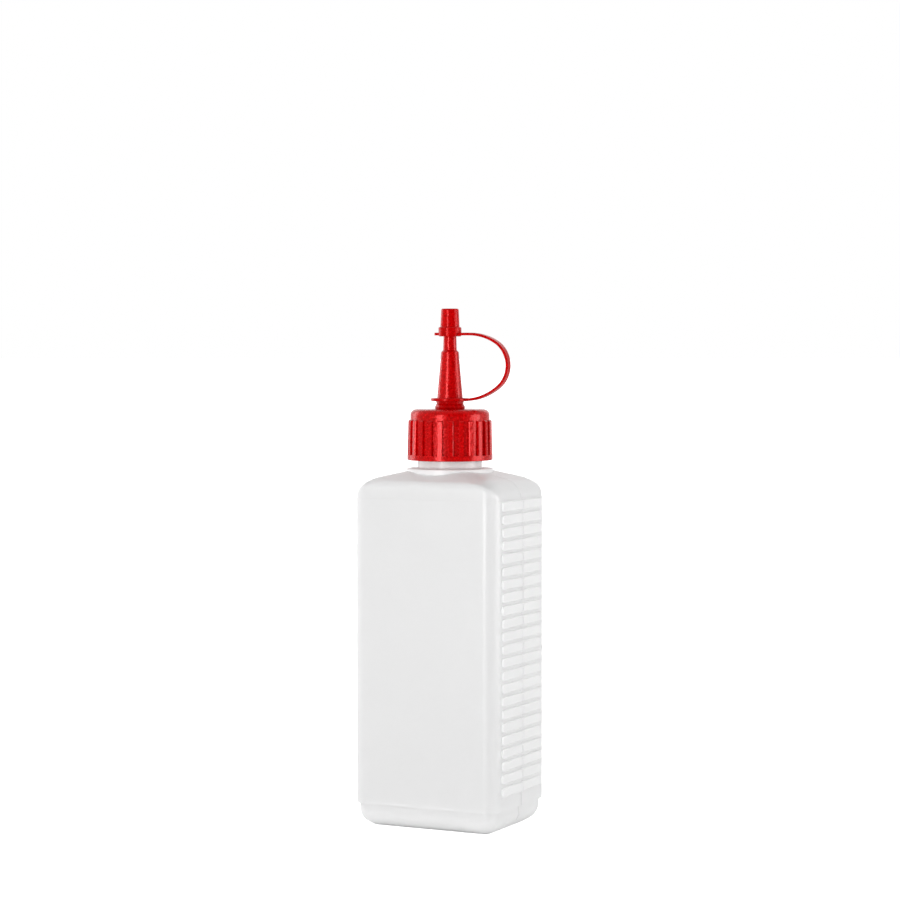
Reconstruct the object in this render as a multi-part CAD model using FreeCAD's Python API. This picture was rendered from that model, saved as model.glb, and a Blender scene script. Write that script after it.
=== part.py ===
"""Rectangular 250 ml squeeze bottle with a ribbed nozzle cap and a tethered tip cap.

Units are millimetres. The bottle stands on the plane Z = 0 with its axis on Z. Its wide
faces look along -Y and +Y, and its ribbed grip faces look along -X and +X. The blow mould
parts on the plane Y = 0. Three mouldings are written, one STEP file each:

  bottle      blow-moulded hollow body with neck, collar, grip ribs and stepped foot
  nozzle_cap  screw cap and its conical dosing nozzle, one moulding
  tether      ring, strap and tip cap, one moulding
"""
import FreeCAD, Part
import math
import os

from FreeCAD import Vector

# Body of the bottle
BODY_WIDTH = 56.0            # along X, without the grip ribs
BODY_DEPTH = 43.3            # along Y
BODY_HEIGHT = 116.2          # up to the joint of the body and shoulder inserts
BODY_WALL = 1.0
CORNER_RADIUS = 5.0          # upright corners

# Shoulder, a hip roof with rounded eaves and hips
INSERT_STEP = 0.2            # the shoulder is this much smaller on every side
EAVE_RISE = 5.6              # sharp eave line above the body
SIDE_SLOPE = 14.0            # degrees, falling towards -X and +X
FRONT_SLOPE = 23.5           # degrees, falling towards -Y and +Y
SIDE_EAVE_RADIUS = 7.5
FRONT_EAVE_RADIUS = 3.4
HIP_RADIUS = 20.0
HIP_ROOM = 1.9               # largest hip radius, as a share of half the flat's width
SHOULDER_SKIRT = 8.0         # how far the shoulder reaches down inside the body's outline

# Collar and neck
COLLAR_WIDTH = 4.0           # beyond the neck
COLLAR_RISE = 10.2           # top of the collar above the body
COLLAR_SINK = 0.3            # the roof is cut flat this far below the collar's top
COLLAR_BEVEL = 0.2
NECK_RADIUS = 11.4
NECK_WALL = 1.6
NECK_HEIGHT = 18.9           # above the collar
NECK_BEVEL = 0.4             # at the neck's root and at its rim

# Foot
FOOT_HEIGHT = 8.2
FOOT_INSET = 1.1
FOOT_EDGE_RADIUS = 6.0
RECESS_DEPTH = 1.2           # hollow under the base
RECESS_RIM = 2.6             # flat rim that the bottle stands on
RECESS_CORNER_RADIUS = 3.0
RECESS_EDGE_RADIUS = 0.9

# Grip ribs on the two narrow faces
RIB_PITCH = 4.512
RIB_HEIGHT = 3.4
RIB_RELIEF = 0.62
RIB_HEAD_GAP = 0.3           # from the top of the body down to the first rib
RIB_END_GAP = 5.0            # from the outline of the wide face to the end of a rib
RIB_FOOT_GAP = 4.0           # least height kept plain above the foot
RIB_CORNER_RADIUS = 1.3
RIB_EDGE_RADIUS = 0.5
RIB_ROOT = 0.4               # how deep a rib is sunk into the wall

# Screw cap
CAP_LIFT = 2.9               # open gap between the collar and the skirt
CAP_TOP_WALL = 2.0
CAP_WALL = 1.3
THREAD_ROOM = 1.35           # from the neck to the inside of the skirt
CAP_EDGE_RADIUS = 2.1
CAP_BAND_RELIEF = 1.1        # plain band at the foot of the skirt
CAP_BAND_HEIGHT = 1.9
CAP_BAND_BEVEL = 0.25
CAP_RIB_COUNT = 24
CAP_RIB_WIDTH = 1.95
CAP_RIB_FOOT_RELIEF = 0.95
CAP_RIB_HEAD_RELIEF = 0.7
CAP_RIB_HEAD_DROP = 3.8      # from the cap's top face down to the ends of the ribs
CAP_RIB_HEAD_BEVEL = 0.4
CAP_RIB_BEVEL = 0.25
CAP_RIB_PHASE = 12.0         # degrees from +X to the first rib
SEAL_CLEARANCE = 0.1         # from the neck's bore to the sealing plug
SEAL_WALL = 1.0
SEAL_DEPTH = 2.2

# Dosing nozzle, heights above the cap's top face
NOZZLE_HEIGHT = 34.35
CONE_FOOT_RADIUS = 4.66
CONE_HEAD_LEVEL = 20.2
CONE_HEAD_STEP = 0.68        # from the stem out to the head of the cone
STEM_RADIUS = 2.42
STEM_LEVEL = 20.9
STEM_TIP_RADIUS = 2.0
NOZZLE_FOOT_RELIEF = 0.49    # this and the next three stand out from the foot of the cone
FLARE_RELIEF = 0.74          # snap rim that keeps the ring on
FLARE_LEVEL = 0.75
GROOVE_RELIEF = 0.12
GROOVE_LEVEL = 1.95
LEDGE_RELIEF = 0.29          # narrow seat under the ring
LEDGE_LEVEL = 2.85
CHANNEL_FOOT_RADIUS = 2.8
CHANNEL_TIP_WALL = 1.1

# Tether: ring, strap and tip cap
RING_THICKNESS = 1.05
STRAP_THICKNESS = 0.95       # strap and pull tab
RING_WIDTH = 2.0
RING_CLEARANCE = 0.14        # from the nozzle's cone to the ring's hole
TETHER_BEVEL = 0.2
STRAP_WIDTH = 2.75
STRAP_OVERLAP = 0.8          # how far the strap runs into the ring and the bead
STRAP_LOWER_RADIUS = 20.6
STRAP_LOWER_TURN = 40.0      # degrees
STRAP_UPPER_RADIUS = 19.25
STRAP_UPPER_TURN = 31.0      # degrees
TIP_CAP_HEIGHT = 9.85
TIP_CAP_END_WALL = 1.2
TIP_CAP_CLEARANCE = 0.1      # from the nozzle's stem to the bore of the tip cap
TIP_CAP_HEAD_WALL = 1.0
TIP_CAP_FOOT_WALL = 0.88
TIP_CAP_EDGE_RADIUS = 0.6
BEAD_RELIEF = 0.68
BEAD_HEIGHT = 3.35
BEAD_BEVEL = 0.3
STRAP_LEVEL_IN_BEAD = 0.85   # middle of the strap above the foot of the bead
TAB_LENGTH = 1.82            # beyond the bead
TAB_WIDTH = 2.4
TAB_CORNER_RADIUS = 0.9

CENTRE = Vector(0, 0, 0)
UP = Vector(0, 0, 1)
TINY = 0.01

# Heights that follow from the values above
EAVE = BODY_HEIGHT + EAVE_RISE
COLLAR_TOP = BODY_HEIGHT + COLLAR_RISE
NECK_TOP = COLLAR_TOP + NECK_HEIGHT
CAP_BOTTOM = COLLAR_TOP + CAP_LIFT
CAP_TOP = NECK_TOP + CAP_TOP_WALL
NOZZLE_TIP = CAP_TOP + NOZZLE_HEIGHT
RING_BOTTOM = CAP_TOP + LEDGE_LEVEL
TIP_CAP_TOP = NOZZLE_TIP + TIP_CAP_END_WALL
BEAD_BOTTOM = TIP_CAP_TOP - TIP_CAP_HEIGHT
STRAP_BOTTOM_LEVEL = RING_BOTTOM + RING_THICKNESS / 2
STRAP_TOP_LEVEL = BEAD_BOTTOM + STRAP_LEVEL_IN_BEAD

# Radii that follow from the values above
COLLAR_RADIUS = NECK_RADIUS + COLLAR_WIDTH
BORE_RADIUS = NECK_RADIUS - NECK_WALL
SKIRT_BORE_RADIUS = NECK_RADIUS + THREAD_ROOM
CAP_RADIUS = SKIRT_BORE_RADIUS + CAP_WALL
CAP_BAND_RADIUS = CAP_RADIUS + CAP_BAND_RELIEF
CONE_HEAD_RADIUS = STEM_RADIUS + CONE_HEAD_STEP
RING_HOLE_RADIUS = CONE_FOOT_RADIUS + RING_CLEARANCE
RING_RADIUS = RING_HOLE_RADIUS + RING_WIDTH
TIP_CAP_FOOT_RADIUS = STEM_RADIUS + TIP_CAP_CLEARANCE + TIP_CAP_FOOT_WALL
TIP_CAP_HEAD_RADIUS = STEM_TIP_RADIUS + TIP_CAP_CLEARANCE + TIP_CAP_HEAD_WALL
BEAD_RADIUS = TIP_CAP_FOOT_RADIUS + BEAD_RELIEF


def sin_deg(angle):
    return math.sin(math.radians(angle))


def cos_deg(angle):
    return math.cos(math.radians(angle))


def tan_deg(angle):
    return math.tan(math.radians(angle))


def block(width, depth, bottom, top):
    """A box centred on the Z axis."""
    return Part.makeBox(width, depth, top - bottom, Vector(-width / 2, -depth / 2, bottom))


def disc(radius, bottom, top):
    return Part.makeCylinder(radius, top - bottom, Vector(0, 0, bottom))


def prism(points, direction):
    """A straight-sided outline pushed along a direction."""
    return Part.Face(Part.makePolygon(points + points[:1])).extrude(direction)


def turned(outline):
    """A closed outline of (radius, height) points turned about the Z axis."""
    points = [Vector(radius, 0, height) for radius, height in outline]
    return Part.Face(Part.makePolygon(points + points[:1])).revolve(CENTRE, UP, 360)


def one_solid(shape):
    """The cleaned single solid of a fused shape; loose pieces are refused."""
    cleaned = shape.removeSplitter()
    if len(cleaned.Solids) != 1:
        raise ValueError("the parts of a moulding do not join into one solid")
    return cleaned.Solids[0]


def rounded(shape, *groups):
    """Fillet several groups of edges in one go; each group is (radius, test of a box)."""
    document = FreeCAD.newDocument("rounding")
    source = document.addObject("Part::Feature", "source")
    source.Shape = shape
    fillet = document.addObject("Part::Fillet", "fillet")
    fillet.Base = source
    chosen = []
    for radius, test in groups:
        for number, edge in enumerate(shape.Edges, start=1):
            if test(edge.BoundBox):
                chosen.append((number, radius, radius))
    fillet.Edges = chosen
    document.recompute()
    result = fillet.Shape.Solids[0].copy()
    FreeCAD.closeDocument(document.Name)
    return result


def bevelled(shape, size, test):
    """Bevel the edges whose box passes a test."""
    return shape.makeChamfer(size, [edge for edge in shape.Edges if test(edge.BoundBox)])


def is_upright(box):
    return box.ZLength > TINY and box.XLength < TINY and box.YLength < TINY


def is_level_at(box, height):
    return box.ZLength < TINY and abs(box.ZMax - height) < TINY


def runs_along_x(box):
    return box.XLength > box.YLength


def is_sloped(box):
    return min(box.XLength, box.YLength, box.ZLength) > 1.0


def is_circle_at(radius, height):
    """A test for the full circle of one radius at one height about the Z axis."""
    return lambda box: is_level_at(box, height) and abs(box.XMax - radius) < TINY


# ------------------------------------------------------------------ bottle

def upright_body(wall):
    """Straight part of the body; a wall above zero gives the space inside it."""
    width = BODY_WIDTH - 2 * wall
    depth = BODY_DEPTH - 2 * wall
    shape = block(width, depth, FOOT_HEIGHT + wall, BODY_HEIGHT)
    return rounded(shape, (CORNER_RADIUS - wall, is_upright))


def shoulder(wall):
    """Roof over the body, from four slopes; a wall above zero gives the space inside."""
    half_width = BODY_WIDTH / 2 - INSERT_STEP - wall
    half_depth = BODY_DEPTH / 2 - INSERT_STEP - wall
    eave = EAVE - wall * (1 - sin_deg(SIDE_SLOPE)) / cos_deg(SIDE_SLOPE)
    skirt = BODY_HEIGHT - SHOULDER_SKIRT
    side_ridge = eave + half_width * tan_deg(SIDE_SLOPE)
    front_ridge = eave + half_depth * tan_deg(FRONT_SLOPE)
    seen_from_front = [
        Vector(-half_width, -half_depth, skirt),
        Vector(half_width, -half_depth, skirt),
        Vector(half_width, -half_depth, eave),
        Vector(0, -half_depth, side_ridge),
        Vector(-half_width, -half_depth, eave),
    ]
    seen_from_side = [
        Vector(-half_width, -half_depth, skirt),
        Vector(-half_width, half_depth, skirt),
        Vector(-half_width, half_depth, eave),
        Vector(-half_width, 0, front_ridge),
        Vector(-half_width, -half_depth, eave),
    ]
    roof = prism(seen_from_front, Vector(0, 2 * half_depth, 0))
    roof = roof.common(prism(seen_from_side, Vector(2 * half_width, 0, 0)))
    flat = COLLAR_TOP - COLLAR_SINK - wall
    roof = roof.common(block(BODY_WIDTH, BODY_DEPTH, skirt, flat))
    half_flat = half_width - (flat - eave) / tan_deg(SIDE_SLOPE)
    hip_radius = min(HIP_RADIUS - wall, HIP_ROOM * half_flat)
    return rounded(
        roof,
        (CORNER_RADIUS - wall, is_upright),
        (SIDE_EAVE_RADIUS - wall, lambda box: is_level_at(box, eave) and not runs_along_x(box)),
        (FRONT_EAVE_RADIUS - wall, lambda box: is_level_at(box, eave) and runs_along_x(box)),
        (hip_radius, is_sloped),
    )


def foot(wall):
    """Stepped-in foot with a large rounded edge; a wall above zero gives its inside."""
    width = BODY_WIDTH - 2 * FOOT_INSET - 2 * wall
    depth = BODY_DEPTH - 2 * FOOT_INSET - 2 * wall
    floor = RECESS_DEPTH + wall if wall else 0
    shape = block(width, depth, floor, FOOT_HEIGHT + wall)
    return rounded(
        shape,
        (CORNER_RADIUS - FOOT_INSET - wall, is_upright),
        (FOOT_EDGE_RADIUS - wall, lambda box: is_level_at(box, floor)),
    )


def base_recess():
    """Shallow hollow under the base, inside the rim that the bottle stands on."""
    border = FOOT_INSET + FOOT_EDGE_RADIUS + RECESS_RIM
    shape = block(BODY_WIDTH - 2 * border, BODY_DEPTH - 2 * border, -RECESS_DEPTH, RECESS_DEPTH)
    return rounded(
        shape,
        (RECESS_CORNER_RADIUS, is_upright),
        (RECESS_EDGE_RADIUS, lambda box: is_level_at(box, RECESS_DEPTH)),
    )


def collar_and_neck():
    """Round step on the shoulder and the neck that stands on it."""
    shape = disc(COLLAR_RADIUS, EAVE, COLLAR_TOP).fuse(disc(NECK_RADIUS, EAVE, NECK_TOP))
    shape = shape.removeSplitter()
    shape = bevelled(shape, COLLAR_BEVEL, is_circle_at(COLLAR_RADIUS, COLLAR_TOP))
    shape = bevelled(shape, NECK_BEVEL, is_circle_at(NECK_RADIUS, COLLAR_TOP))
    return bevelled(shape, NECK_BEVEL, is_circle_at(NECK_RADIUS, NECK_TOP))


def grip_rib():
    """One pillow-edged grip rib on the +X face, its middle at height zero."""
    thickness = RIB_ROOT + RIB_RELIEF
    length = BODY_DEPTH - 2 * RIB_END_GAP
    face = BODY_WIDTH / 2 + RIB_RELIEF
    corner = Vector(face - thickness, -length / 2, -RIB_HEIGHT / 2)
    shape = Part.makeBox(thickness, length, RIB_HEIGHT, corner)
    return rounded(
        shape,
        (RIB_CORNER_RADIUS, lambda box: box.XLength > TINY),
        (RIB_EDGE_RADIUS, lambda box: box.XMin > face - TINY),
    )


def grip_ribs():
    """Both ladders of grip ribs, hung from the top of the body."""
    first = BODY_HEIGHT - RIB_HEAD_GAP - RIB_HEIGHT / 2
    lowest = FOOT_HEIGHT + RIB_FOOT_GAP + RIB_HEIGHT / 2
    count = 1 + int((first - lowest) / RIB_PITCH)
    ribs = []
    for number in range(count):
        level = first - number * RIB_PITCH
        for turn in (0, 180):
            rib = grip_rib_master.copy()
            rib.rotate(CENTRE, UP, turn)
            rib.translate(UP * level)
            ribs.append(rib)
    return ribs


def bottle():
    outside = upright_body(0).fuse([shoulder(0), foot(0), collar_and_neck()])
    outside = outside.fuse(grip_ribs())
    inside = upright_body(BODY_WALL).fuse([shoulder(BODY_WALL), foot(BODY_WALL)])
    inside = inside.fuse(disc(BORE_RADIUS, BODY_HEIGHT, NECK_TOP + BODY_WALL))
    return one_solid(outside.cut([inside, base_recess()]))


# -------------------------------------------------------------- nozzle cap

def stem_radius(height):
    """Radius of the nozzle's stem at a height in the part's frame."""
    share = (height - CAP_TOP - STEM_LEVEL) / (NOZZLE_HEIGHT - STEM_LEVEL)
    return STEM_RADIUS + share * (STEM_TIP_RADIUS - STEM_RADIUS)


def cap_outside():
    """Skirt band, barrel and nozzle as one turned form."""
    outline = [
        (0, CAP_BOTTOM),
        (CAP_BAND_RADIUS, CAP_BOTTOM),
        (CAP_BAND_RADIUS, CAP_BOTTOM + CAP_BAND_HEIGHT),
        (CAP_RADIUS, CAP_BOTTOM + CAP_BAND_HEIGHT),
        (CAP_RADIUS, CAP_TOP),
        (CONE_FOOT_RADIUS + NOZZLE_FOOT_RELIEF, CAP_TOP),
        (CONE_FOOT_RADIUS + FLARE_RELIEF, CAP_TOP + FLARE_LEVEL),
        (CONE_FOOT_RADIUS + GROOVE_RELIEF, CAP_TOP + GROOVE_LEVEL),
        (CONE_FOOT_RADIUS + LEDGE_RELIEF, RING_BOTTOM),
        (CONE_FOOT_RADIUS, RING_BOTTOM),
        (CONE_HEAD_RADIUS, CAP_TOP + CONE_HEAD_LEVEL),
        (STEM_RADIUS, CAP_TOP + STEM_LEVEL),
        (STEM_TIP_RADIUS, NOZZLE_TIP),
        (0, NOZZLE_TIP),
    ]
    shape = rounded(turned(outline), (CAP_EDGE_RADIUS, is_circle_at(CAP_RADIUS, CAP_TOP)))
    return bevelled(shape, CAP_BAND_BEVEL, is_circle_at(CAP_BAND_RADIUS, CAP_BOTTOM))


def cap_inside():
    """Space for the neck, the sealing plug's hollow and the nozzle's channel."""
    plug_radius = BORE_RADIUS - SEAL_CLEARANCE
    plug_bottom = NECK_TOP - SEAL_DEPTH
    below = CAP_BOTTOM - CAP_WALL
    above = NOZZLE_TIP + CAP_WALL
    outline = [
        (0, below),
        (SKIRT_BORE_RADIUS, below),
        (SKIRT_BORE_RADIUS, NECK_TOP),
        (plug_radius, NECK_TOP),
        (plug_radius, plug_bottom),
        (plug_radius - SEAL_WALL, plug_bottom),
        (plug_radius - SEAL_WALL, NECK_TOP),
        (CHANNEL_FOOT_RADIUS, NECK_TOP),
        (STEM_TIP_RADIUS - CHANNEL_TIP_WALL, NOZZLE_TIP),
        (STEM_TIP_RADIUS - CHANNEL_TIP_WALL, above),
        (0, above),
    ]
    return turned(outline)


def cap_rib():
    """One upright rib of the cap, drafted and bevelled at its head, on the +X side."""
    foot_level = CAP_BOTTOM + CAP_BAND_HEIGHT
    head_level = CAP_TOP - CAP_RIB_HEAD_DROP
    root_radius = CAP_RADIUS - CAP_WALL / 2
    head_radius = CAP_RADIUS + CAP_RIB_HEAD_RELIEF
    side = -CAP_RIB_WIDTH / 2
    outline = [
        Vector(root_radius, side, foot_level),
        Vector(CAP_RADIUS + CAP_RIB_FOOT_RELIEF, side, foot_level),
        Vector(head_radius, side, head_level - CAP_RIB_HEAD_BEVEL),
        Vector(head_radius - CAP_RIB_HEAD_BEVEL, side, head_level),
        Vector(root_radius, side, head_level),
    ]
    shape = prism(outline, Vector(0, CAP_RIB_WIDTH, 0))
    return bevelled(shape, CAP_RIB_BEVEL,
                    lambda box: box.YLength < TINY and box.XMin > CAP_RADIUS and box.ZLength > 1.0)


def cap_ribs():
    master = cap_rib()
    ribs = []
    for number in range(CAP_RIB_COUNT):
        rib = master.copy()
        rib.rotate(CENTRE, UP, CAP_RIB_PHASE + number * 360 / CAP_RIB_COUNT)
        ribs.append(rib)
    return ribs


def nozzle_cap():
    return one_solid(cap_outside().fuse(cap_ribs()).cut(cap_inside()))


# ------------------------------------------------------------------ tether

def strap_path():
    """Centre line of the strap in the plane Y = 0 as (x, z, heading) stations and radii.

    It leaves the ring along +X, bends up through a wide arc and a tight one, comes back
    through a wide arc and runs straight into the bead of the tip cap.
    """
    turn_in = STRAP_LOWER_TURN
    turn_out = 180 - STRAP_UPPER_TURN
    rise = STRAP_TOP_LEVEL - STRAP_BOTTOM_LEVEL
    rise_in_wide_arcs = (STRAP_LOWER_RADIUS * (1 - cos_deg(turn_in))
                         + STRAP_UPPER_RADIUS * (1 + cos_deg(turn_out)))
    end_radius = (rise - rise_in_wide_arcs) / (cos_deg(turn_in) - cos_deg(turn_out))
    x = RING_RADIUS - STRAP_OVERLAP
    z = STRAP_BOTTOM_LEVEL
    heading = 0
    arcs = []
    for radius, last in ((STRAP_LOWER_RADIUS, turn_in), (end_radius, turn_out),
                         (STRAP_UPPER_RADIUS, 180)):
        centre = Vector(x - radius * sin_deg(heading), 0, z + radius * cos_deg(heading))
        arcs.append((centre, radius, heading, last))
        x = centre.x + radius * sin_deg(last)
        z = centre.z - radius * cos_deg(last)
        heading = last
    return arcs, x


def strap_side(arcs, last_x, offset):
    """Edges of one side of the strap, at an offset outwards from its centre line."""
    edges = []
    for centre, radius, first, last in arcs:
        reach = radius + offset
        points = []
        for heading in (first, (first + last) / 2, last):
            away = Vector(sin_deg(heading), 0, -cos_deg(heading))
            points.append(centre + away * reach)
        edges.append(Part.Arc(*points).toShape())
    level = STRAP_TOP_LEVEL + offset
    inner_end = BEAD_RADIUS - STRAP_OVERLAP
    edges.append(Part.makeLine(Vector(last_x, 0, level), Vector(inner_end, 0, level)))
    return edges


def strap():
    """The flat strap with bevelled edges."""
    arcs, last_x = strap_path()
    half = STRAP_THICKNESS / 2
    outer = strap_side(arcs, last_x, half)
    inner = strap_side(arcs, last_x, -half)
    starts = [side[0].Vertexes[0].Point for side in (outer, inner)]
    ends = [side[-1].Vertexes[-1].Point for side in (outer, inner)]
    loop = outer + inner + [Part.makeLine(*starts), Part.makeLine(*ends)]
    face = Part.Face(Part.Wire(Part.__sortEdges__(loop)))
    shape = face.extrude(Vector(0, STRAP_WIDTH, 0))
    shape.translate(Vector(0, -STRAP_WIDTH / 2, 0))
    return bevelled(shape, TETHER_BEVEL,
                    lambda box: box.YLength < TINY and max(box.XLength, box.ZLength) > 2.0)


def ring():
    """Flat ring round the foot of the cone, seated on the nozzle's ledge."""
    top = RING_BOTTOM + RING_THICKNESS
    shape = disc(RING_RADIUS, RING_BOTTOM, top).cut(disc(RING_HOLE_RADIUS, RING_BOTTOM, top))
    shape = bevelled(shape, TETHER_BEVEL, is_circle_at(RING_RADIUS, top))
    return bevelled(shape, TETHER_BEVEL, is_circle_at(RING_RADIUS, RING_BOTTOM))


def tip_cap():
    """Tapered tip cap with its bead, bored to fit over the nozzle's stem."""
    bead_top = BEAD_BOTTOM + BEAD_HEIGHT
    outline = [
        (0, BEAD_BOTTOM),
        (BEAD_RADIUS, BEAD_BOTTOM),
        (BEAD_RADIUS, bead_top),
        (TIP_CAP_FOOT_RADIUS, bead_top),
        (TIP_CAP_HEAD_RADIUS, TIP_CAP_TOP),
        (0, TIP_CAP_TOP),
    ]
    shape = rounded(turned(outline), (TIP_CAP_EDGE_RADIUS, is_circle_at(TIP_CAP_HEAD_RADIUS, TIP_CAP_TOP)))
    shape = bevelled(shape, BEAD_BEVEL, is_circle_at(BEAD_RADIUS, BEAD_BOTTOM))
    return bevelled(shape, BEAD_BEVEL, is_circle_at(BEAD_RADIUS, bead_top))


def tip_cap_bore():
    """Space for the stem: clear of its sides, closed on the nozzle's tip."""
    below = BEAD_BOTTOM - TIP_CAP_CLEARANCE
    outline = [
        (0, below),
        (stem_radius(below) + TIP_CAP_CLEARANCE, below),
        (STEM_TIP_RADIUS + TIP_CAP_CLEARANCE, NOZZLE_TIP),
        (0, NOZZLE_TIP),
    ]
    return turned(outline)


def pull_tab():
    """Small tab on the far side of the bead from the strap."""
    end = BEAD_RADIUS + TAB_LENGTH
    corner = Vector(-end, -TAB_WIDTH / 2, STRAP_TOP_LEVEL - STRAP_THICKNESS / 2)
    shape = Part.makeBox(TAB_LENGTH + STRAP_OVERLAP, TAB_WIDTH, STRAP_THICKNESS, corner)
    return rounded(shape, (TAB_CORNER_RADIUS, lambda box: is_upright(box) and box.XMax < TINY - end))


def tether():
    shape = ring().fuse([strap(), tip_cap(), pull_tab()])
    return one_solid(shape.cut(tip_cap_bore()))


def write(name, shape):
    shape.exportStep(os.path.join("parts", name + ".step"))


os.makedirs("parts", exist_ok=True)
grip_rib_master = grip_rib()
write("bottle", bottle())
write("nozzle_cap", nozzle_cap())
write("tether", tether())
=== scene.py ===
"""Looks of the rectangular squeeze bottle: its plastics, mould seams, neck thread and studio.

Lengths are in metres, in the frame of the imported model: the bottle stands on Z = 0 with its
axis on Z, its wide faces look along -Y and +Y, and its grip ribs along -X and +X.
"""
import math

import bpy
from mathutils import Euler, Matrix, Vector


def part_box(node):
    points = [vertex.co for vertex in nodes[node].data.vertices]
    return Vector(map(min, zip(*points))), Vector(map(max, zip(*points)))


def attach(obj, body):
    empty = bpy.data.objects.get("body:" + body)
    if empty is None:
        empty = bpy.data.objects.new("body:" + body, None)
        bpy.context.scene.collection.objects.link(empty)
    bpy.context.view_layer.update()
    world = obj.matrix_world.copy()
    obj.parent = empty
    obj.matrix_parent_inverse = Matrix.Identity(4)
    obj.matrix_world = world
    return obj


MM = 0.001

# Camera: it looks at the bottle's axis, and turns about it from -Y towards +X
CAMERA_TURN = math.radians(26.23)
CAMERA_DISTANCE = 0.9348
CAMERA_HEIGHT = 0.1731
CAMERA_PITCH = math.radians(2.47)   # downwards
CAMERA_LENS = 105.56                # millimetres, on the sensor below
CAMERA_SENSOR = 36.0
CAMERA_CLIP = (0.01, 20.0)

# Soft boxes: turn in degrees about the bottle's axis from the camera, power in watts
KEY_LIGHT = dict(turn=-30, height=0.20, distance=0.90, width=0.17, tall=0.38, power=3.7)
SIDE_LIGHT = dict(turn=80, height=0.20, distance=0.80, width=0.50, tall=0.38, power=2.9)
RIM_LIGHT = dict(turn=-125, height=0.28, distance=0.90, width=0.30, tall=0.70, power=1.5)
BACK_LIGHT = dict(turn=180, height=0.45, distance=1.10, width=1.40, tall=0.90, power=2.0)
LIGHT_AIM = Vector((0, 0, 0.09))

# Room: even light, but for a dim side that keeps the reflections of the cap deep
AMBIENT = 0.62
DIM_SIDE_TURN = 22                  # degrees from the camera
DIM_SIDE_LOSS = 0.90                # share of the room's light that is missing there
DIM_SIDE_EDGE = (0.50, 0.92)        # cosine where the loss starts, and where it is full
FLOOR_REACH = 60.0
FLOOR_TONE = 0.88
FLOOR_TONE_SEEN = 3.0               # to the camera, so that the lit floor is white
FLOOR_ROUGHNESS = 0.9

# Plastics: noise scales in cycles per metre
NOISE_RANGE = (0.3, 0.7)            # where most values of a noise lie
POLYETHYLENE_IOR = 1.5
BODY_TONE = 0.91
# paler than the body: a painted highlight along the seams, the pinch-off line and the neck thread
FLASH_PAINTED_HIGHLIGHT_TONE = 0.97
TONE_RISE = 0.025                   # from the darkest to the palest cloud
CLOUD_SCALE = 45.0
PALE_ROUGHNESS = (0.32, 0.38)
WAVE_DEPTH = 0.25 * MM
WAVE_STRENGTH = 0.10
PALE_GRAIN_SCALE = 1500.0
PALE_GRAIN_DEPTH = 0.012 * MM
PALE_GRAIN_STRENGTH = 0.6
LIGHT_SPREAD = 2.4 * MM             # how far light wanders in the milky wall
DARK_RED = (0.36, 0.0, 0.0)
BRIGHT_RED = (0.66, 0.0, 0.001)
RED_SHEEN = (1.0, 0.14, 0.14, 1)
RED_GRAIN_SCALE = 900.0
RED_SPECKLE_SCALE = 1400.0

# Mould seam of the bottle, in the plane Y = 0
SEAM_WIDTH = 0.34 * MM
SEAM_HEIGHT = 0.12 * MM
SEAM_DRIFT = 0.14 * MM              # sideways, to and fro
SEAM_WAVE = 1.6 * MM
SEAM_STEP = 0.25 * MM
SEAM_FOOT = 2 * MM                  # above the base
EAVE_LEVEL = 120.2 * MM             # where the seam turns from the grip side onto the shoulder
COLLAR_EDGE = 15.6 * MM             # the seam ends here, from the bottle's axis
PINCH_WIDTH = 1.1 * MM
PINCH_HEIGHT = 0.35 * MM
PINCH_HALF_LENGTH = 17.0 * MM
PINCH_STEP = 1 * MM
UNDER_BASE = -5 * MM                # level from which the base is looked for

# Thread on the neck, under the cap
NECK_RADIUS = 11.4 * MM
THREAD_PITCH = 3.0 * MM
THREAD_HEIGHT = 0.85 * MM
THREAD_WIDTH = 1.7 * MM
THREAD_TURNS = 2.6
THREAD_START = 3.4 * MM             # above the skirt's foot
THREAD_STEPS = 72                   # per turn
THREAD_RUN_OUT = 12                 # steps over which it fades at each end
THREAD_SINK = 0.1 * MM              # its root's depth in the neck
THREAD_PROFILE = ((0.0, -0.5), (0.6, -0.3), (1.0, -0.12),   # shares of height and of width
                  (1.0, 0.12), (0.6, 0.3), (0.0, 0.5))


# ---------------------------------------------------------------- materials

def plain_material(name):
    """A new material, with its node tree and its shader."""
    material = bpy.data.materials.new(name)
    material.use_nodes = True
    return material, material.node_tree, material.node_tree.nodes["Principled BSDF"]


def object_noise(tree, scale):
    """Noise fixed to the object, at a scale in cycles per metre."""
    place = tree.nodes.new("ShaderNodeTexCoord")
    noise = tree.nodes.new("ShaderNodeTexNoise")
    noise.inputs["Scale"].default_value = scale
    noise.inputs["Detail"].default_value = 3.0
    tree.links.new(place.outputs["Object"], noise.inputs["Vector"])
    return noise.outputs["Fac"]


def spread(tree, noise, low, high):
    """Maps a noise from its usual range to low..high."""
    ranged = tree.nodes.new("ShaderNodeMapRange")
    ranged.inputs["From Min"].default_value = NOISE_RANGE[0]
    ranged.inputs["From Max"].default_value = NOISE_RANGE[1]
    ranged.inputs["To Min"].default_value = low
    ranged.inputs["To Max"].default_value = high
    tree.links.new(noise, ranged.inputs["Value"])
    return ranged.outputs["Result"]


def two_tone(tree, value, first, second):
    """A colour that goes from the first to the second as the value goes from 0 to 1."""
    mix = tree.nodes.new("ShaderNodeMix")
    mix.data_type = "RGBA"
    mix.inputs["A"].default_value = (*first, 1)
    mix.inputs["B"].default_value = (*second, 1)
    tree.links.new(value, mix.inputs["Factor"])
    return mix.outputs["Result"]


def bump(tree, value, distance, strength, under=None):
    """A normal that follows the value as a height, on top of another bump if one is given."""
    node = tree.nodes.new("ShaderNodeBump")
    node.inputs["Distance"].default_value = distance
    node.inputs["Strength"].default_value = strength
    tree.links.new(value, node.inputs["Height"])
    if under:
        tree.links.new(under, node.inputs["Normal"])
    return node.outputs["Normal"]


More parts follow.
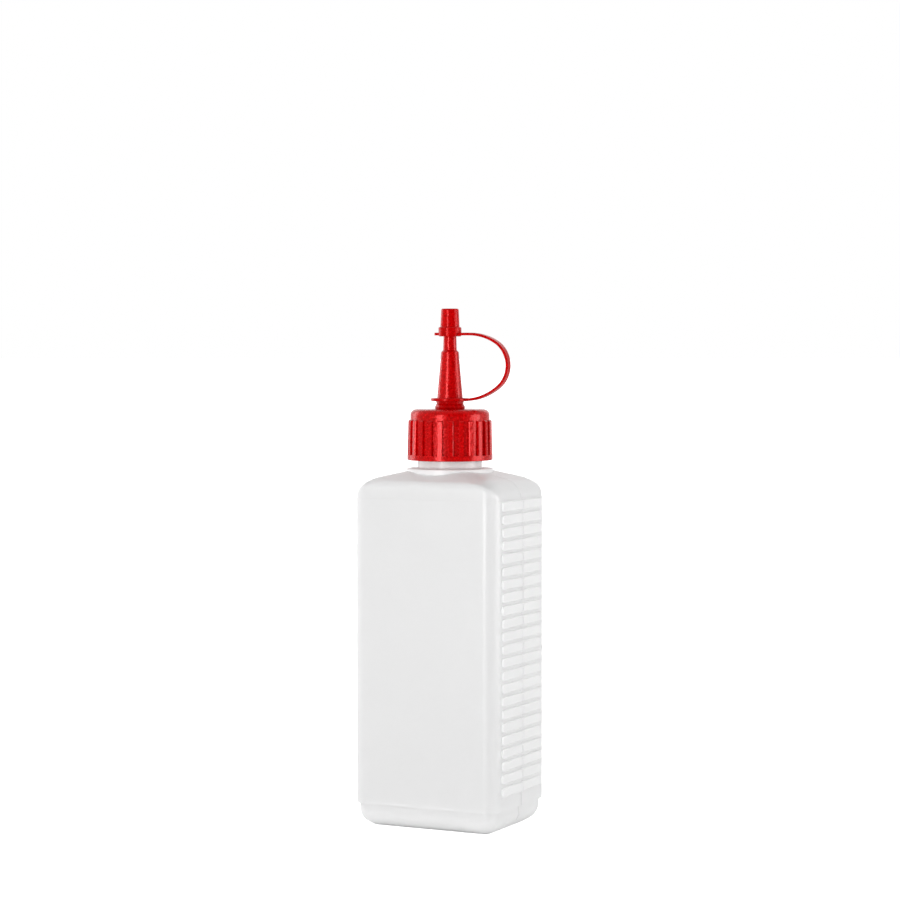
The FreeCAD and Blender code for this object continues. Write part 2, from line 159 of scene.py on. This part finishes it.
def milky_polyethylene(name, milkiness, tone):
    """Natural polyethylene: pale and milky, so that light spreads in the thin wall."""
    material, tree, shader = plain_material(name)
    clouds = object_noise(tree, CLOUD_SCALE)
    grain = object_noise(tree, PALE_GRAIN_SCALE)
    colour = two_tone(tree, clouds, (tone,) * 3, (tone + TONE_RISE,) * 3)
    rough = spread(tree, clouds, *PALE_ROUGHNESS)
    waves = bump(tree, clouds, WAVE_DEPTH, WAVE_STRENGTH)
    skin = bump(tree, grain, PALE_GRAIN_DEPTH, PALE_GRAIN_STRENGTH, waves)
    tree.links.new(colour, shader.inputs["Base Color"])
    tree.links.new(rough, shader.inputs["Roughness"])
    tree.links.new(skin, shader.inputs["Normal"])
    shader.inputs["IOR"].default_value = POLYETHYLENE_IOR
    shader.inputs["Subsurface Weight"].default_value = milkiness
    shader.inputs["Subsurface Radius"].default_value = (1.0, 1.0, 1.0)
    shader.inputs["Subsurface Scale"].default_value = LIGHT_SPREAD
    return material


def red_plastic(name, roughness, grain_depth, gloss):
    """Dyed polyethylene with a satin, finely grained skin."""
    material, tree, shader = plain_material(name)
    grain = spread(tree, object_noise(tree, RED_GRAIN_SCALE), 0.0, 1.0)
    speckle = spread(tree, object_noise(tree, RED_SPECKLE_SCALE), 0.0, 1.0)
    colour = two_tone(tree, speckle, DARK_RED, BRIGHT_RED)
    rough = spread(tree, speckle, *roughness)
    skin = bump(tree, grain, grain_depth, 1.0)
    tree.links.new(colour, shader.inputs["Base Color"])
    tree.links.new(rough, shader.inputs["Roughness"])
    tree.links.new(skin, shader.inputs["Normal"])
    shader.inputs["IOR"].default_value = POLYETHYLENE_IOR
    shader.inputs["Specular IOR Level"].default_value = gloss
    shader.inputs["Specular Tint"].default_value = RED_SHEEN
    return material


def paint(obj, material):
    """Gives an object one material all over."""
    if not obj.material_slots:
        obj.data.materials.append(material)
    for slot in obj.material_slots:
        slot.material = material


# ------------------------------------------------------------------- pieces

def mesh_piece(name, points, faces, material):
    """Adds a piece of the bottle that only the visual model has."""
    mesh = bpy.data.meshes.new(name)
    mesh.from_pydata(points, [], faces)
    mesh.update()
    obj = bpy.data.objects.new(name, mesh)
    bpy.context.scene.collection.objects.link(obj)
    paint(obj, material)
    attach(obj, "root")


def strip_faces(rings, width):
    """Quads between rings of points that follow one another, each ring width points long."""
    faces = []
    for ring in range(rings - 1):
        for place in range(width - 1):
            first = ring * width + place
            faces.append((first, first + 1, first + width + 1, first + width))
    return faces


def surface_hits(node, starts, direction):
    """First points, with their normals, that rays in one direction meet on a CAD node."""
    hits = []
    for start in starts:
        found, point, normal, _ = node.ray_cast(start, direction)
        if found:
            hits.append((point, normal))
    return hits


def steps(first, last, size):
    """Evenly spaced values from first to last, about size apart."""
    count = max(1, round(abs(last - first) / size))
    return [first + (last - first) * number / count for number in range(count + 1)]


def ridge(name, hits, side, width, height, material):
    """A low, slightly wavy ridge that follows points on a surface in the plane Y = 0.

    side is 1 on the grip side at +X and -1 at -X, so that the faces look outwards.
    """
    sideways = Vector((0, side, 0))
    points = []
    for number, (point, normal) in enumerate(hits):
        outwards = Vector((normal.x, 0, normal.z)).normalized()
        drift = sideways * SEAM_DRIFT * math.sin(number * SEAM_STEP / SEAM_WAVE)
        root = point - outwards * height / 2 + drift
        crest = point + outwards * height + drift
        points += [root - sideways * width / 2, crest - sideways * width / 6,
                   crest + sideways * width / 6, root + sideways * width / 2]
    mesh_piece(name, points, strip_faces(len(hits), 4), material)


def seam_line(bottle, side):
    """Points of the mould's parting line up one grip side and over the shoulder."""
    low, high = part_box("bottle")
    outside = 2 * side * high.x
    rising = [Vector((outside, 0, z)) for z in steps(low.z + SEAM_FOOT, EAVE_LEVEL, SEAM_STEP)]
    hits = surface_hits(bottle, rising, Vector((-side, 0, 0)))
    edge = abs(hits[-1][0].x)
    across = [Vector((side * x, 0, high.z)) for x in steps(edge, COLLAR_EDGE, SEAM_STEP)]
    return hits + surface_hits(bottle, across[1:], Vector((0, 0, -1)))


def pinch_line(bottle):
    """Points of the pinch-off line across the hollow under the base."""
    starts = [Vector((x, 0, UNDER_BASE))
              for x in steps(-PINCH_HALF_LENGTH, PINCH_HALF_LENGTH, PINCH_STEP)]
    return surface_hits(bottle, starts, Vector((0, 0, 1)))


def neck_thread(start, material):
    """A rounded thread that rises round the neck from a level and runs out at both ends."""
    count = round(THREAD_TURNS * THREAD_STEPS)
    points = []
    for number in range(count + 1):
        turn = 2 * math.pi * number / THREAD_STEPS
        level = start + THREAD_PITCH * number / THREAD_STEPS
        fade = min(1.0, number / THREAD_RUN_OUT, (count - number) / THREAD_RUN_OUT)
        for out, along in THREAD_PROFILE:
            reach = NECK_RADIUS - THREAD_SINK + out * fade * THREAD_HEIGHT
            points.append((reach * math.cos(turn), reach * math.sin(turn),
                           level + along * THREAD_WIDTH))
    faces = strip_faces(count + 1, len(THREAD_PROFILE))
    mesh_piece("neck_thread", points, faces, material)


# ------------------------------------------------------------------- studio

def soft_box(name, turn, height, distance, width, tall, power):
    """A rectangular soft light that looks at the middle of the bottle."""
    angle = CAMERA_TURN + math.radians(turn)
    light = bpy.data.lights.new(name, "AREA")
    light.shape = "RECTANGLE"
    light.size = width
    light.size_y = tall
    light.energy = power
    lamp = bpy.data.objects.new(name, light)
    lamp.location = (math.sin(angle) * distance, -math.cos(angle) * distance, height)
    lamp.rotation_euler = (LIGHT_AIM - lamp.location).to_track_quat("-Z", "Y").to_euler()
    bpy.context.scene.collection.objects.link(lamp)


def room_light(tree):
    """Strength of the room's light by direction: even, and dim on one side."""
    angle = CAMERA_TURN + math.radians(DIM_SIDE_TURN)
    looking = tree.nodes.new("ShaderNodeTexCoord")
    facing = tree.nodes.new("ShaderNodeVectorMath")
    facing.operation = "DOT_PRODUCT"
    facing.inputs[1].default_value = (math.sin(angle), -math.cos(angle), 0)
    tree.links.new(looking.outputs["Generated"], facing.inputs[0])
    dim = tree.nodes.new("ShaderNodeMapRange")
    dim.interpolation_type = "SMOOTHSTEP"
    dim.inputs["From Min"].default_value = DIM_SIDE_EDGE[0]
    dim.inputs["From Max"].default_value = DIM_SIDE_EDGE[1]
    dim.inputs["To Min"].default_value = AMBIENT
    dim.inputs["To Max"].default_value = AMBIENT * (1 - DIM_SIDE_LOSS)
    tree.links.new(facing.outputs["Value"], dim.inputs["Value"])
    return dim.outputs["Result"]


def ambient_light():
    """A world that lights the bottle as the room does, and that the camera sees as white."""
    world = bpy.data.worlds.new("studio")
    world.use_nodes = True
    tree = world.node_tree
    shade = tree.nodes["Background"]
    rays = tree.nodes.new("ShaderNodeLightPath")
    level = tree.nodes.new("ShaderNodeMapRange")
    level.inputs["To Max"].default_value = 1.0
    tree.links.new(room_light(tree), level.inputs["To Min"])
    tree.links.new(rays.outputs["Is Camera Ray"], level.inputs["Value"])
    tree.links.new(level.outputs["Result"], shade.inputs["Strength"])
    shade.inputs["Color"].default_value = (1, 1, 1, 1)
    bpy.context.scene.world = world


def white_floor():
    """A pale floor that the camera sees as white, and that keeps the bottle's shadow."""
    mesh = bpy.data.meshes.new("floor")
    reach = FLOOR_REACH
    corners = [(-reach, -reach, 0), (reach, -reach, 0), (reach, reach, 0), (-reach, reach, 0)]
    mesh.from_pydata(corners, [], [(0, 1, 2, 3)])
    floor = bpy.data.objects.new("floor", mesh)
    bpy.context.scene.collection.objects.link(floor)
    material, tree, shader = plain_material("white_floor")
    rays = tree.nodes.new("ShaderNodeLightPath")
    seen = two_tone(tree, rays.outputs["Is Camera Ray"], (FLOOR_TONE,) * 3, (FLOOR_TONE_SEEN,) * 3)
    tree.links.new(seen, shader.inputs["Base Color"])
    shader.inputs["Roughness"].default_value = FLOOR_ROUGHNESS
    shader.inputs["Specular IOR Level"].default_value = 0.0
    paint(floor, material)


def camera():
    """Sets the scene's camera."""
    data = bpy.data.cameras.new("camera")
    data.lens = CAMERA_LENS
    data.sensor_width = CAMERA_SENSOR
    data.clip_start, data.clip_end = CAMERA_CLIP
    eye = bpy.data.objects.new("camera", data)
    eye.location = (CAMERA_DISTANCE * math.sin(CAMERA_TURN),
                    -CAMERA_DISTANCE * math.cos(CAMERA_TURN), CAMERA_HEIGHT)
    eye.rotation_euler = Euler((math.pi / 2 - CAMERA_PITCH, 0, CAMERA_TURN))
    bpy.context.scene.collection.objects.link(eye)
    bpy.context.scene.camera = eye


# --------------------------------------------------------------------- scene

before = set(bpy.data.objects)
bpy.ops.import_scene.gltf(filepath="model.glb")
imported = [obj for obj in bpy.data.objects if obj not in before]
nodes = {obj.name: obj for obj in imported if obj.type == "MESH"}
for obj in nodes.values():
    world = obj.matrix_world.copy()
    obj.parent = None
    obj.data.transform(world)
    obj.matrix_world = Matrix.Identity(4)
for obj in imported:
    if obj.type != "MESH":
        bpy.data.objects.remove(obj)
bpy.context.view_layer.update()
bottle = nodes["bottle"]

milky = milky_polyethylene("milky_polyethylene", milkiness=1.0, tone=BODY_TONE)
# its paler tone is a painted highlight on the seam ridges, the pinch-off line and the thread
flash = milky_polyethylene("moulding_flash", milkiness=0.0, tone=FLASH_PAINTED_HIGHLIGHT_TONE)
grained = red_plastic("red_grained", roughness=(0.14, 0.28), grain_depth=0.045 * MM, gloss=0.9)
smooth = red_plastic("red_smooth", roughness=(0.18, 0.28), grain_depth=0.03 * MM, gloss=0.45)
paint(bottle, milky)
paint(nodes["nozzle_cap"], grained)
paint(nodes["tether"], smooth)

ridge("seam_right", seam_line(bottle, 1), 1, SEAM_WIDTH, SEAM_HEIGHT, flash)
ridge("seam_left", seam_line(bottle, -1), -1, SEAM_WIDTH, SEAM_HEIGHT, flash)
ridge("pinch_off", pinch_line(bottle), 1, PINCH_WIDTH, PINCH_HEIGHT, flash)
skirt_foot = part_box("nozzle_cap")[0].z
neck_thread(skirt_foot + THREAD_START, flash)

soft_box("key", **KEY_LIGHT)
soft_box("side", **SIDE_LIGHT)
soft_box("rim", **RIM_LIGHT)
soft_box("back", **BACK_LIGHT)
ambient_light()
white_floor()
camera()
bpy.context.scene.view_settings.view_transform = "Standard"
